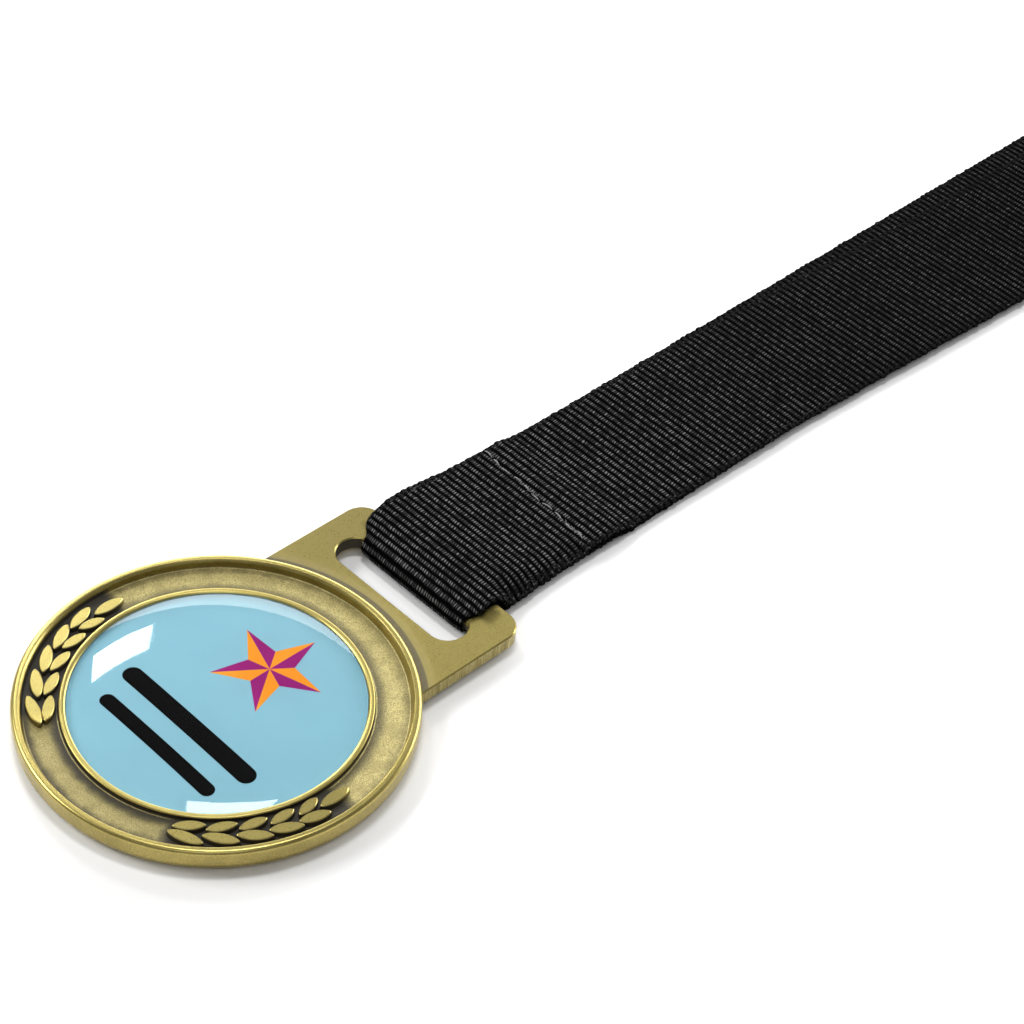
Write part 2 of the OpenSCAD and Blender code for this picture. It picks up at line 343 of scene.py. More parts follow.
def brass_masks(g):
    """Where each finish of the casting lies, as masks from 0 to 1, by name."""
    m = SimpleNamespace()
    m.place = g.position()
    m.x, m.y, z = g.split(m.place)
    radial = g.add("VectorMath", {"operation": "LENGTH"})
    g.put(radial.inputs[0], g.scaled(m.place, (1, 1, 0)))
    r = radial.outputs["Value"]
    upright = g.size(g.split(g.add("TexCoord").outputs["Normal"])[2])
    m.flat = g.step(upright, 0.6, 0.95)
    m.wall = g.step(upright, 0.5, 0.2)
    on_face = g.step(z, FLOOR_Z - 0.3, FLOOR_Z - 0.2)

    m.cloud = g.noise(m.place, 0.22, 3.0)
    m.fine = g.noise(m.place, 7.0, 3.0, 0.6)
    m.grain = g.noise(m.place, 11.0, 2.0, 0.6)
    wobble = g.times(g.minus(g.noise(m.place, 0.7, 3.0), 0.5), 1.1)
    r_soft = g.plus(r, wobble)

    # The sunken channel is sandblasted, and its patina lies thick along both walls.
    # The banks are darker towards the foot of the disc.
    on_floor = g.times(g.step(z, FLOOR_Z + 0.25, FLOOR_Z + 0.05), on_face)
    m.channel = g.times(g.between(r, BEZEL_R, RIM_IN_R, 0.15), on_floor)
    m.foot = g.step(m.y, 6.0, -13.0)
    near_bezel = g.times(g.step(r_soft, 21.2, 19.7), g.plus(0.6, g.times(m.foot, 0.35)))
    near_rim = g.times(g.step(r_soft, 22.2, 23.75), g.plus(0.35, g.times(m.foot, 0.55)))
    banks = g.times(g.larger(near_bezel, near_rim), m.channel)

    # The laurels' bed and the sides of the leaves, in a sector on both sides
    angle = g.math("ARCTAN2", g.size(m.x), m.y)
    m.laurel = g.between(g.plus(angle, g.times(wobble, 0.05)),
                         math.radians(88.5), math.radians(144), 0.09)
    under_leaf = g.times(g.step(z, LEAF_TOP - 0.04, LEAF_TOP - 0.12), on_face)
    ring = g.between(r, BEZEL_R + 0.1, RIM_IN_R - 0.02, 0.08)
    leaf_bed = g.times(g.times(m.laurel, under_leaf), ring)

    # The bezel's outer wall is dark. A thin line at its foot is kept free of the dark and glossier, so
    # a lamp's highlight shows there: partly painted highlight.
    low_wall = g.times(g.step(z, BEZEL_Z - 0.1, BEZEL_Z - 0.2), g.times(m.wall, on_face))
    bezel_wall = g.times(g.between(r, BEZEL_R - 0.03, BEZEL_R + 0.12, 0.03), low_wall)
    m.fillet = g.times(g.between(r, BEZEL_R + 0.14, BEZEL_R + 0.24, 0.04), on_floor)
    rim_foot = g.times(g.between(r, RIM_IN_R - 0.3, RIM_IN_R - 0.2, 0.05), on_floor)

    # Tight inner corners kept their patina everywhere.
    hollow = g.add("AmbientOcclusion", {"samples": 6, "only_local": True}, Distance=0.7 * MM)
    tight = g.step(hollow.outputs["AO"], 0.66, 0.2)

    # Polish didn't reach the foot of the rim on the lug. The lug's face beside the ribbon takes a
    # painted dark reflection of the ribbon.
    m.on_lug = g.times(m.flat, g.between(z, LUG_HIGH - 0.1, LUG_HIGH + 0.1, 0.1))
    root = g.larger(g.step(r, 26.3, 25.8), g.times(g.step(r_soft, 27.4, 26.0), 0.45))
    beside_bar = g.between(g.plus(m.y, wobble), BAR_Y + 1.3, LUG_END - 1.3, 1.0)
    inside_edge = g.step(g.plus(g.size(m.x), wobble), 12.9, 10.9)
    m.by_ribbon = g.times(g.times(beside_bar, inside_edge), m.on_lug)

    # The slot's inner ends, out of reach of the grinding on the lug's other edges
    slot_length = g.times(g.step(m.y, 26.5, 27.2), g.step(m.y, LUG_END - 0.4, LUG_END - 0.9))
    inner_end = g.times(g.times(m.wall, g.step(g.size(m.x), 15.0, 14.6)), slot_length)
    m.lug_wall = g.times(g.times(m.wall, g.step(r, 25.1, 25.6)), g.minus(1.0, inner_end))

    dark = g.larger(g.times(banks, 0.95), g.times(leaf_bed, 0.97))
    dark = g.larger(dark, g.times(tight, 0.9))
    dark = g.larger(dark, g.times(g.times(root, 0.85), m.on_lug))
    dark = g.larger(dark, g.times(inner_end, 0.93))
    dark = g.larger(dark, bezel_wall)
    # Lines at the feet of the bezel and the rim are kept free of the dark: partly painted highlight
    # lines, which the lamps light.
    painted_highlight = g.times(g.larger(m.fillet, rim_foot), g.minus(1.0, m.laurel))
    m.dark = g.times(dark, g.minus(1.0, painted_highlight), clamp=True)

    # Brushing on the lug's face, and upright grinding marks on the edges
    m.brushed = g.noise(g.scaled(m.place, (11.0, 0.5, 1.0)), 1.0, 4.0, 0.7)
    m.ground = g.noise(g.scaled(m.place, (3.4, 3.4, 0.22)), 1.0, 4.0, 0.75)
    return m


def brass_colour(g, m):
    bright = g.mix(g.step(m.cloud, 0.35, 0.65), BRASS_FRESH, BRASS_WORN)
    # Painted shade: level faces take a darker brass than the rounded edges.
    bright = g.mix(m.flat, bright, BRASS_LEVEL_SHADED)
    # Painted shade on upright walls, broken up by fine noise.
    bright = g.mix(g.times(g.times(m.wall, g.step(m.fine, 0.35, 0.7)), 0.6), bright, WALL_SHADE_MOTTLE)
    # Painted shade on the leaves' flat tops.
    bright = g.mix(g.times(g.times(m.laurel, m.flat), 0.3), bright, LEAF_TOP_SHADE)
    blasted = g.mix(g.step(m.grain, 0.38, 0.62), BLAST_LOW, BLAST_HIGH)
    clouded = g.step(g.noise(m.place, 0.35, 3.0, 0.6), 0.4, 0.66)
    blasted = g.mix(g.times(clouded, 0.5), blasted, BLAST_CLOUD)
    blasted = g.mix(g.times(m.foot, 0.45), blasted, BLAST_FOOT)

    colour = g.mix(m.channel, bright, blasted)
    # Painted shade: the lug's face is darker towards -x.
    colour = g.mix(g.times(g.times(m.on_lug, g.step(m.x, 6.0, -14.0)), 0.45), colour, LUG_PAINTED_SHADE)
    # Painted reflection of the black ribbon on the lug's face beside it.
    colour = g.mix(g.times(m.by_ribbon, 0.85), colour, RIBBON_REFLECTION)
    colour = g.mix(m.dark, colour, PATINA)
    colour = g.mix(g.times(g.times(m.lug_wall, g.step(m.ground, 0.45, 0.7)), 0.55),
                   colour, GROUND_BRIGHT)
    colour = g.mix(g.times(g.times(m.lug_wall, g.step(m.ground, 0.46, 0.32)), 0.7),
                   colour, GROUND_DARK)
    return g.mix(g.times(g.times(m.on_lug, g.step(m.brushed, 0.42, 0.66)), 0.25),
                 colour, BRUSHED_DARK)


def brass_relief(g, m):
    """Sandblasted grain in the channel and grinding marks on the upright edges."""
    depth = g.plus(g.times(m.wall, 0.07), g.times(m.lug_wall, 0.3))
    height = g.plus(g.times(m.grain, g.times(m.channel, 0.05)),
                    g.times(g.minus(m.ground, 0.5), depth))
    return g.add("Bump", Strength=1.0, Distance=MM, Height=height).outputs[0]


def brass_material():
    """Antique brass: bright and satin where it was polished, dark where the patina stayed, with some
    shade, highlight lines and a reflection of the ribbon painted in.
    """
    g = Graph("antique_brass")
    m = brass_masks(g)
    colour = brass_colour(g, m)
    relief = brass_relief(g, m)

    rough = g.plus(0.29, g.times(m.channel, 0.2))
    rough = g.plus(rough, g.times(m.dark, 0.2))
    rough = g.plus(rough, g.times(g.minus(m.fine, 0.5), 0.12))
    rough = g.minus(rough, g.times(m.fillet, 0.2))

    metal = g.add("BsdfPrincipled", Base_Color=colour, Roughness=rough, Metallic=1.0, Normal=relief)
    dull = g.add("BsdfPrincipled", Base_Color=colour, Roughness=0.6, Metallic=0.0, Normal=relief)
    both = g.add("MixShader", Fac=g.times(m.dark, 0.8))
    g.put(both.inputs[1], metal.outputs[0])
    g.put(both.inputs[2], dull.outputs[0])
    return g.finish(both.outputs[0])


def print_material(name, colour, shade):
    """Printed film or ink: faint cloudiness and a fine, faint speckle."""
    g = Graph(name)
    place = g.position()
    cloud = g.noise(place, 0.12, 2.0)
    dots = g.noise(place, 9.0, 1.0)
    tone = g.mix(g.step(cloud, 0.3, 0.7), (*colour, 1), (*shade, 1))
    tone = g.mix(g.times(g.step(dots, 0.4, 0.6), 0.12), tone, (*shade, 1))
    shader = g.add("BsdfPrincipled", Base_Color=tone, Roughness=0.9, Specular_IOR_Level=0.0)
    return g.finish(shader.outputs[0])


def adhesive_material():
    g = Graph("adhesive")
    cloud = g.noise(g.position(), 1.5, 3.0)
    tone = g.mix(cloud, (0.62, 0.6, 0.52, 1), (0.75, 0.74, 0.68, 1))
    shader = g.add("BsdfPrincipled", Base_Color=tone, Roughness=0.45)
    return g.finish(shader.outputs[0])


def resin_material():
    """Clear doming resin. Lamps shine straight through it onto the print."""
    g = Graph("clear_resin")
    place = g.position()
    tint = g.mix(g.noise(place, 0.2, 1.0), (0.97, 0.99, 1.0, 1), (1.0, 1.0, 1.0, 1))
    through = g.add("BsdfRefraction", Color=tint, Roughness=0.0, IOR=1.45)
    gloss = g.add("BsdfGlossy", Roughness=0.035)
    mirror = g.times(g.add("Fresnel", IOR=1.5).outputs[0], 0.68)
    clear = g.add("MixShader", Fac=mirror)
    g.put(clear.inputs[1], through.outputs[0])
    g.put(clear.inputs[2], gloss.outputs[0])
    open_way = g.add("BsdfTransparent", Color=(0.97, 0.97, 0.97, 1))
    lamp_ray = g.add("LightPath").outputs["Is Shadow Ray"]
    both = g.add("MixShader", Fac=lamp_ray)
    g.put(both.inputs[1], clear.outputs[0])
    g.put(both.inputs[2], open_way.outputs[0])
    return g.finish(both.outputs[0])


def webbing_material():
    """Black ribbed webbing: each rib is a row of small slanted yarn floats, with the light they catch
    painted into the colour as small highlights.
    """
    g = Graph("ribbon_cloth")
    across, along, _ = g.split(g.add("UVMap", {"uv_map": "weave"}).outputs[0])
    across = g.times(across, 1000.0)
    along = g.times(along, 1000.0)
    place = g.add("CombineXYZ", X=across, Y=along).outputs[0]
    wander = g.times(g.minus(g.noise(place, 0.45, 3.0), 0.5), 2.2)
    drift = g.times(g.minus(g.noise(place, 0.9, 2.0), 0.5), 0.3)

    row = g.plus(g.math("DIVIDE", along, RIB), drift)
    rib = g.math("FLOOR", row)
    in_rib = g.minus(row, rib)
    shift = g.times(g.math("FLOORED_MODULO", rib, 2.0), 0.5)
    slant = g.times(in_rib, 0.3)
    float_no = g.plus(g.math("DIVIDE", across, FLOAT_W), shift)
    float_no = g.plus(g.plus(float_no, wander), slant)
    floor_no = g.math("FLOOR", float_no)
    in_float = g.minus(float_no, floor_no)
    bead = g.math("SINE", g.times(in_float, math.pi))
    crown = g.math("SINE", g.times(in_rib, math.pi))
    knot = g.times(g.math("POWER", bead, 0.7), g.math("POWER", crown, 0.5))
    # Painted highlight: a light spot on the crown of each float.
    lit = g.times(g.math("POWER", bead, 1.4), g.math("POWER", crown, 2.0))
    lit = g.step(lit, 0.3, 0.9)

    spot = g.add("CombineXYZ", X=floor_no, Y=rib)
    chance = g.add("TexWhiteNoise", {"noise_dimensions": "3D"}, Vector=spot.outputs[0]).outputs[0]
    fibre = g.noise(g.scaled(place, (6.0, 2.6, 1.0)), 1.0, 3.0, 0.7)
    cloud = g.noise(place, 0.12, 3.0)

    # Selvedge: no clear ribs, only loose loops of yarn, with painted highlights on the loops
    edge = g.step(g.size(across), STRIP_W / 2 - 1.3, STRIP_W / 2 - 0.7)
    loops = g.step(g.noise(g.scaled(place, (3.2, 2.6, 1.0)), 1.0, 2.0, 0.6), 0.52, 0.72)
    lit = g.plus(g.times(lit, g.minus(1.0, edge)), g.times(g.times(loops, edge), 0.7))

    gain = g.plus(0.2, g.times(g.math("POWER", chance, 1.6), 1.5))
    gain = g.times(gain, g.plus(0.35, g.times(fibre, 1.3)))
    gain = g.times(gain, g.plus(0.55, g.times(cloud, 0.9)))
    lit = g.times(lit, gain)
    # The painted highlights are strong over the first 45 mm of the strip, by the medal, and faint past
    # 120 mm.
    painted_highlight = g.plus(0.28, g.times(g.step(along, 120.0, 45.0), 0.62))
    # Painted shade: rib crowns a little lighter, grooves between the ribs darker.
    body = g.mix(g.step(crown, 0.4, 0.95), grey(0.0018), grey(0.011))
    yarn = g.mix(g.times(lit, painted_highlight), body, grey(0.14))
    # Painted glints: a rare bright speck on a knot.
    painted_glint = g.times(g.step(chance, 0.986, 0.995), g.step(fibre, 0.5, 0.65))
    yarn = g.mix(g.times(painted_glint, g.step(knot, 0.6, 0.9)), yarn, grey(0.16))

    height = g.times(knot, g.plus(0.75, g.times(chance, 0.35)))
    height = g.plus(height, g.times(fibre, 0.35))
    bump = g.add("Bump", Strength=1.0, Distance=0.12 * MM, Height=height)
    shader = g.add("BsdfPrincipled", Base_Color=yarn, Roughness=0.6, Specular_IOR_Level=0.0,
                   Normal=bump.outputs[0])
    return g.finish(shader.outputs[0])


def thread_material(name, light, dark):
    """Spun sewing thread with a visible twist."""
    g = Graph(name)
    place = g.position()
    twist = g.noise(g.scaled(place, (14.0, 4.0, 6.0)), 1.0, 2.0, 0.7)
    tone = g.mix(g.step(twist, 0.3, 0.7), grey(dark), grey(light))
    bump = g.add("Bump", Strength=0.8, Distance=0.05 * MM, Height=twist)
    shader = g.add("BsdfPrincipled", Base_Color=tone, Roughness=0.6, Normal=bump.outputs[0])
    shader.inputs["Sheen Weight"].default_value = 0.3
    return g.finish(shader.outputs[0])


def floor_material():
    g = Graph("studio_floor")
    cloud = g.noise(g.position(), 0.004, 2.0)
    tone = g.mix(cloud, grey(0.94), grey(0.96))
    shader = g.add("BsdfPrincipled", Base_Color=tone, Roughness=0.9, Specular_IOR_Level=0.1)
    return g.finish(shader.outputs[0])


# ---- medal casting ----

def casting_profile():
    """Section of the disc from the axis underneath to the axis in the recess."""
    profile = [(0, 0), (DISC_R - BASE_R - 0.2, 0)]
    profile += arc((DISC_R - BASE_R, BASE_R), BASE_R, -90, 0, 14)
    profile += [(DISC_R, BASE_R + 0.1), (DISC_R, RIM_Z - 0.75)]
    profile += arc((DISC_R - 0.55, RIM_Z - 0.55), 0.55, 0, 90, 10)
    profile += arc((RIM_IN_R + 0.3, RIM_Z - 0.07), 0.07, 90, 135, 3)
    profile += [(RIM_IN_R + 0.03, RIM_Z - 0.3), (RIM_IN_R, RIM_Z - 0.36)]
    profile += [(RIM_IN_R - 0.1, FLOOR_Z + 0.25)]
    profile += arc((RIM_IN_R - 0.28, FLOOR_Z + 0.16), 0.16, 0, -90, 5)
    profile += [(RIM_IN_R - 0.4, FLOOR_Z), (BEZEL_R + 0.3, FLOOR_Z)]
    profile += arc((BEZEL_R + 0.2, FLOOR_Z + 0.14), 0.14, -90, -180, 5)
    profile += [(BEZEL_R, BEZEL_Z - 0.25)]
    profile += arc((BEZEL_R - 0.22, BEZEL_Z - 0.22), 0.22, 0, 90, 7)
    profile += [(RECESS_R + 0.2, BEZEL_Z), (RECESS_R + 0.14, BEZEL_Z - 0.02)]
    profile += [(RECESS_R, BEZEL_Z - 0.16), (RECESS_R, RECESS_Z + 0.05)]
    profile += [(RECESS_R - 0.05, RECESS_Z), (0, RECESS_Z)]
    return profile


def lug_outline():
    """Outline of the lug: outer corners, posts either side of the opening, and the slot's ends."""
    root_r = DISC_R - 0.6
    root = math.degrees(math.acos(LUG_HALF / root_r))
    post_r = 0.5
    end_x = SLOT_HALF - SLOT_R
    meet = math.degrees(math.acos((POST_X - end_x) / SLOT_R))
    side = arc((LUG_HALF - LUG_CORNER, LUG_END - LUG_CORNER), LUG_CORNER, 0, 90, 16)
    side += arc((POST_X + post_r, LUG_END - post_r), post_r, 90, 180, 6)
    side += arc((end_x, SLOT_Y), SLOT_R, meet, -90, 28)
    other = [(-x, y) for x, y in reversed(side)]
    return side + other + arc((0, 0), root_r, 180 - root, root, 40)


def leaf(angle, radius, tilt, length, width, mirrored):
    """One laurel leaf: a pointed lens with a flat polished top, a narrow bevel and steep sides."""
    outline = []
    for k in range(44):
        t = 2 * math.pi * k / 44
        half = math.copysign(abs(math.sin(t)) ** 1.35, math.sin(t))
        outline.append((width / 2 * half, length / 2 * math.cos(t)))
    turn = Matrix.Rotation(math.radians(90 + tilt), 2)
    round_disc = Matrix.Rotation(math.radians(-angle), 2)
    levels = [(-0.08, FLOOR_Z - 0.25), (-0.06, FLOOR_Z + 0.1), (0.0, LEAF_TOP - 0.12),
              (0.12, LEAF_TOP)]
    rings = []
    for inward, z in levels:
        narrow = 1 - 2 * inward / width
        short = 1 - 3.2 * inward / length
        ring = []
        for px, py in outline:
            p = round_disc @ (Vector((0, radius)) + turn @ Vector((px * narrow, py * short)))
            ring.append((-p.x if mirrored else p.x, p.y, z))
        rings.append(ring if not mirrored else ring[::-1])
    return stacked("leaf", rings)


def laurel_leaves():
    """Both sprays: a leaf on the tip and five pairs that grow longer towards the foot.

    The mirrored spray starts a little later and is a little longer, so the two differ.
    """
    leaves = []
    for mirrored, start, stretch in ((False, 89.0, 0.965), (True, 90.6, 1.025)):
        leaves.append(leaf(start, 21.15, 0, 4.5, 1.7, mirrored))
        for i in range(5):
            angle = start + 9.6 * (i + 1) * (1 + 0.02 * i) * stretch
            outer = (4.3 + 0.16 * i) * stretch
            inner = (3.55 + 0.16 * i) * stretch
            leaves.append(leaf(angle + 0.4, 22.2, -9 - 2 * i, outer, 1.62, mirrored))
            leaves.append(leaf(angle, 20.42, 20 - 2.6 * i, inner, 1.5, mirrored))
    return leaves


def build_casting(material):
    disc = lathe("casting", casting_profile(), 360, [material])
    lug = prism("lug", lug_outline(), LUG_LOW, LUG_HIGH, 0.16)
    bar_half = POST_X + 0.5
    ring = arc((BAR_Y, BAR_Z), BAR_R, 0, 360, 48)[:-1]
    bar = stacked("bar", [[(x, y, z) for y, z in ring] for x in (-bar_half, bar_half)])
    leaves = laurel_leaves()
    union(disc, [lug, bar, *leaves])
    mesh = disc.data
    mesh.materials.clear()
    mesh.materials.append(material)
    for polygon in mesh.polygons:
        polygon.material_index = 0
    tidy_mesh(mesh, SHARP_DEG)
    # Level faces under the bezel's crest are truly flat, so they take no tilt from round edges.
    for polygon in mesh.polygons:
        level = abs(polygon.normal.z) > 0.99999 and polygon.center.z < (BEZEL_Z - 0.02) * MM
        polygon.use_smooth = not level
    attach(disc, "medal")
    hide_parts("medal_casting")


# ---- label ----

def star_outline(centre, outer, inner_share, points):
    angles = [math.pi / 2 + math.pi * k / points for k in range(2 * points)]
    radii = [outer * (inner_share if k % 2 else 1) for k in range(2 * points)]
    return [(centre[0] + r * math.cos(a), centre[1] + r * math.sin(a))
            for a, r in zip(angles, radii)]


def ink_prism(outline, low, high, slot, vertices, faces, slots):
    """Adds a thin closed prism of ink to lists of vertices, faces and material slots."""
    first, count = len(vertices), len(outline)
    vertices += [(x, y, low) for x, y in outline]
    vertices += [(x, y, high) for x, y in outline]
    made = [tuple(first + i for i in reversed(range(count)))]
    made.append(tuple(first + count + i for i in range(count)))
    for i in range(count):
        j = (i + 1) % count
        made.append((first + i, first + j, first + count + j, first + count + i))
    faces += made
    slots += [slot] * len(made)


def build_print(materials):
    """The film and its ink: a faceted star over two plain bars."""
    film_r = film_high.x - 0.02
    low, high = film_low.z, film_high.z - 0.01
    film = [(film_r * math.cos(a), film_r * math.sin(a))
            for a in np.linspace(0, 2 * math.pi, 180, endpoint=False)]
    vertices, faces, slots = [], [], []
    ink_prism(film, low, high, 0, vertices, faces, slots)

    centre = (0.3, 8.0)
    star = star_outline(centre, 7.4, 0.42, 5)
    for k, point in enumerate(star):
        facet = [centre, point, star[(k + 1) % len(star)]]
        ink_prism(facet, high - 0.02, high + 0.01, 1 + k % 2, vertices, faces, slots)
    for y, half, radius in ((-5.3, 12.0, 1.3), (-10.2, 10.4, 1.0)):
        bar = arc((half - radius, y), radius, -90, 90, 12)
        bar += arc((radius - half, y), radius, 90, 270, 12)
        shifted = [(x + 0.9, v) for x, v in bar]
        ink_prism(shifted, high - 0.02, high + 0.01, 3, vertices, faces, slots)
    label = add_object("label_film", vertices, faces, materials)
    label.data.polygons.foreach_set("material_index", slots)
    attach(label, "medal")
    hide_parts("label_print")


def build_dome(material):
    """Clear resin, nearly flat in the middle and rolling over at its edge."""
    edge_r = dome_high.x
    low = film_high.z - 0.03
    edge_z = BEZEL_Z - 0.2
    top = dome_high.z
    broad, roll = 0.35 * (top - edge_z), 0.65 * (top - edge_z)
    profile = [(0, low), (edge_r, low), (edge_r, low + 0.1), (edge_r, edge_z - 0.05)]
    shares = np.concatenate([np.linspace(1, 0.8, 24), np.linspace(0.78, 0.03, 26)])
    for q in shares:
        profile.append((edge_r * q, edge_z + broad * (1 - q ** 2) + roll * (1 - q ** 5)))
    profile.append((0, top))
    dome = lathe("label_resin", profile, 240, [material], sharp_deg=40)
    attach(dome, "medal")
    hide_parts("label_dome")


def finish_adhesive(material):
    """The CAD's own adhesive layer keeps its shape and takes a material."""
    adhesive = frame["nodes"]["label_adhesive"]
    adhesive.data.materials.clear()
    adhesive.data.materials.append(material)


# ---- ribbon ----

SEAM_Y = upper_low.y
TAB_END = eye_high.y
INNER_END = SEAM_Y - 3.0
ROLL_Y = (roll_low.y + roll_high.y) / 2
ROLL_Z = (roll_low.z + roll_high.z) / 2
ROLL_R = ROLL_Z - 0.02
WRAP_R = BAR_R + 0.43
TURN_PITCH = 2 * STRIP_T + 0.06
ROLL_TURNS = 6.2
LAYER_GAP = 0.02

# Left and right edge of the strip: in the eye, and on both layers at the roll
EYE_LEFT, EYE_RIGHT = -9.55, 9.4
UPPER_LAY, LOWER_LAY = (-10.0, 13.4), (-13.6, 9.8)
SOFTEN_ROWS = 15
STITCH_DEPTH = 0.13
STITCH_POINTS = 9
FIBRES, FIBRE_R = 46, 0.022


def smooth(value, start, end):
    share = min(1.0, max(0.0, (value - start) / (end - start)))
    return share * share * (3 - 2 * share)


def upper_height(y):
    """Middle of the upper layer: over the bar and the lug, down to the seam, then on the lower leg."""
    sewn = 2.5 * STRIP_T
    over_bar = BAR_Z + WRAP_R
    drop = smooth(y, LUG_END + 0.3, INNER_END)
    rest = smooth(y, TAB_END + 0.6, TAB_END + 4.6)
    wave = 0.12 * math.sin(y / 11.0) ** 2 * smooth(y, 66, 80) * smooth(y, ROLL_Y, ROLL_Y - 12)
    return over_bar + (sewn - over_bar) * drop - STRIP_T * rest + wave


def lower_height(y):
    """Middle of the lower leg: flat on the ground, over the tab's end, into the seam."""
    return STRIP_T * (0.5 + smooth(y, TAB_END + 3.2, TAB_END + 0.4))


def spiral(theta, radius):
    r = radius - TURN_PITCH * theta / (2 * math.pi)
    return ROLL_Y + r * math.sin(theta), ROLL_Z - r * math.cos(theta)


def strip_route():
    """Stations of the strip's middle line as rows of y, z, left edge, right edge, detail.

    It runs from the tab's cut end under the bar, round it, along the upper leg, into the
    roll, back out of the roll and along the lower leg to the other cut end.
    """
    rows = []
    spacing = 0.06
    roll_step = spacing / 6.0

    # Edges of the strip against y, as left and right x
    tab = [(BAR_Y, EYE_LEFT, EYE_RIGHT), (LUG_END + 0.2, EYE_LEFT, 9.5), (LUG_END + 1.6, -11.4, 9.9),
           (LUG_END + 5, -13.9, 9.5), (TAB_END, -14.0, 9.4)]
    upper = [(BAR_Y, -10.1, 9.8), (BAR_Y + 0.6, -11.1, 9.95), (BAR_Y + 1.6, -11.9, 10.2),
             (LUG_END - 1.4, -12.4, 9.75), (LUG_END + 0.3, -12.8, 9.9),
             (LUG_END + 2.3, -13.2, 10.35), (LUG_END + 8, -13.4, 9.9), (SEAM_Y, -13.25, 9.75),
             (67, -13.1, 10.0), (98, -12.5, 10.5), (124, -11.3, 12.0), (144, -10.3, 13.1),
             (165, *UPPER_LAY), (ROLL_Y, *UPPER_LAY)]
    lower = [(INNER_END, -13.4, 9.9), (70, -13.5, 9.8), (ROLL_Y, *LOWER_LAY)]

    def straight(start, end, height, edges, detail):
        knots = np.array(edges)
        for y in np.arange(start, end, math.copysign(spacing, end - start)):
            left, right = (np.interp(y, knots[:, 0], knots[:, k]) for k in (1, 2))
            rows.append((y, height(y), left, right, detail))

    straight(TAB_END, BAR_Y, lambda y: STRIP_T / 2, tab, 4)
    for turn in np.arange(0, math.pi, spacing / WRAP_R):
        lift = smooth(turn, 2.5, math.pi)
        rows.append((BAR_Y - WRAP_R * math.sin(turn), BAR_Z - WRAP_R * math.cos(turn),
                     EYE_LEFT - 0.45 * lift, EYE_RIGHT + 0.4 * lift, 6))
    straight(BAR_Y, ROLL_Y, upper_height, upper, 6)

    end = 2 * math.pi * ROLL_TURNS
    outer_r = ROLL_R - STRIP_T / 2
    inner_r = outer_r - STRIP_T - LAYER_GAP
    for theta in np.arange(0, end, roll_step):
        share = 0.5 * smooth(theta, end * 0.5, end)
        left, right = (a + (b - a) * share for a, b in zip(UPPER_LAY, LOWER_LAY))
        rows.append((*spiral(theta, inner_r), left, right, 2))
    fold_left, fold_right = (sum(pair) / 2 for pair in zip(UPPER_LAY, LOWER_LAY))
    fold_r = (outer_r + inner_r) / 2
    half = (outer_r - inner_r) / 2
    cy, cz = spiral(end, fold_r)
    out = Vector((math.sin(end), -math.cos(end)))
    ahead = Vector((math.cos(end), math.sin(end)))
    for turn in np.arange(0, math.pi, 0.15):
        p = Vector((cy, cz)) - out * (half * math.cos(turn)) + ahead * (half * math.sin(turn))
        rows.append((p.x, p.y, fold_left, fold_right, 2))
    for theta in np.arange(end, 0, -roll_step):
        share = 0.5 + 0.5 * smooth(theta, end, end * 0.5)
        left, right = (a + (b - a) * share for a, b in zip(UPPER_LAY, LOWER_LAY))
        rows.append((*spiral(theta, outer_r), left, right, 5 if theta < 2 * math.pi else 2))
    straight(ROLL_Y, INNER_END, lower_height, lower, 4)
    return np.array(rows)


def softened(values, width):
    """A running mean that keeps both ends."""
    kernel = np.ones(width) / width
    padded = np.concatenate([np.full(width, values[0]), values, np.full(width, values[-1])])
    return np.convolve(padded, kernel, "same")[width:-width]


def strip_stations(route):
    """Picks rows of the route, several to a rib, and gives their directions."""
    points = route[:, :2]
    gaps = np.linalg.norm(np.diff(points, axis=0), axis=1)
    along = np.concatenate([[0], np.cumsum(gaps)])
    keep = np.concatenate([[True], gaps > 1e-6])
    route, along = route[keep], along[keep]
    stations, s = [], 0.0
    while s < along[-1]:
        stations.append(s)
        s += RIB / np.interp(s, along, route[:, 4])
    stations = np.array(stations + [along[-1]])
    y, z = (np.interp(stations, along, route[:, k]) for k in (0, 1))
    step = 0.1
    ahead = [np.interp(stations + step, along, route[:, k]) for k in (0, 1)]
    behind = [np.interp(stations - step, along, route[:, k]) for k in (0, 1)]
    tangent = np.stack([ahead[0] - behind[0], ahead[1] - behind[1]], 1)
    tangent /= np.linalg.norm(tangent, axis=1)[:, None]
    left = np.interp(stations, along, softened(route[:, 2], SOFTEN_ROWS))
    right = np.interp(stations, along, softened(route[:, 3], SOFTEN_ROWS))
    return stations, y, z, tangent, left, right, along[-1]


def seam_line(x):
    """Y of the stitched row at x: nearly straight, and a little off square."""
    return SEAM_Y - 0.088 * (x + 3.3) + 0.18 * np.sin(x * 0.9)


def scattered(numbers):
    """A repeatable share from 0 to 1 for each number, with no visible order."""
    spread = np.sin(numbers * 12.9898) * 43758.5453
    return spread - np.floor(spread)


def hanging(y, z, tangent, shares):
    """How far each point hangs: past the lug the near edge sinks onto the tab under it."""
    hang = np.zeros((len(y), len(shares)))
    eye_top = (z > 1.3) & (tangent[:, 0] > 0.9) & (y > LUG_END) & (y < INNER_END + 1)
    room = np.clip(z - 1.5 * STRIP_T - 0.08, 0, None)
    near_edge = np.clip((shares - 0.7) / 0.3, 0, 1) ** 1.7
    for k in np.flatnonzero(eye_top):
        hang[k] = room[k] * smooth(y[k], LUG_END + 0.2, LUG_END + 3.0) * near_edge
    return hang


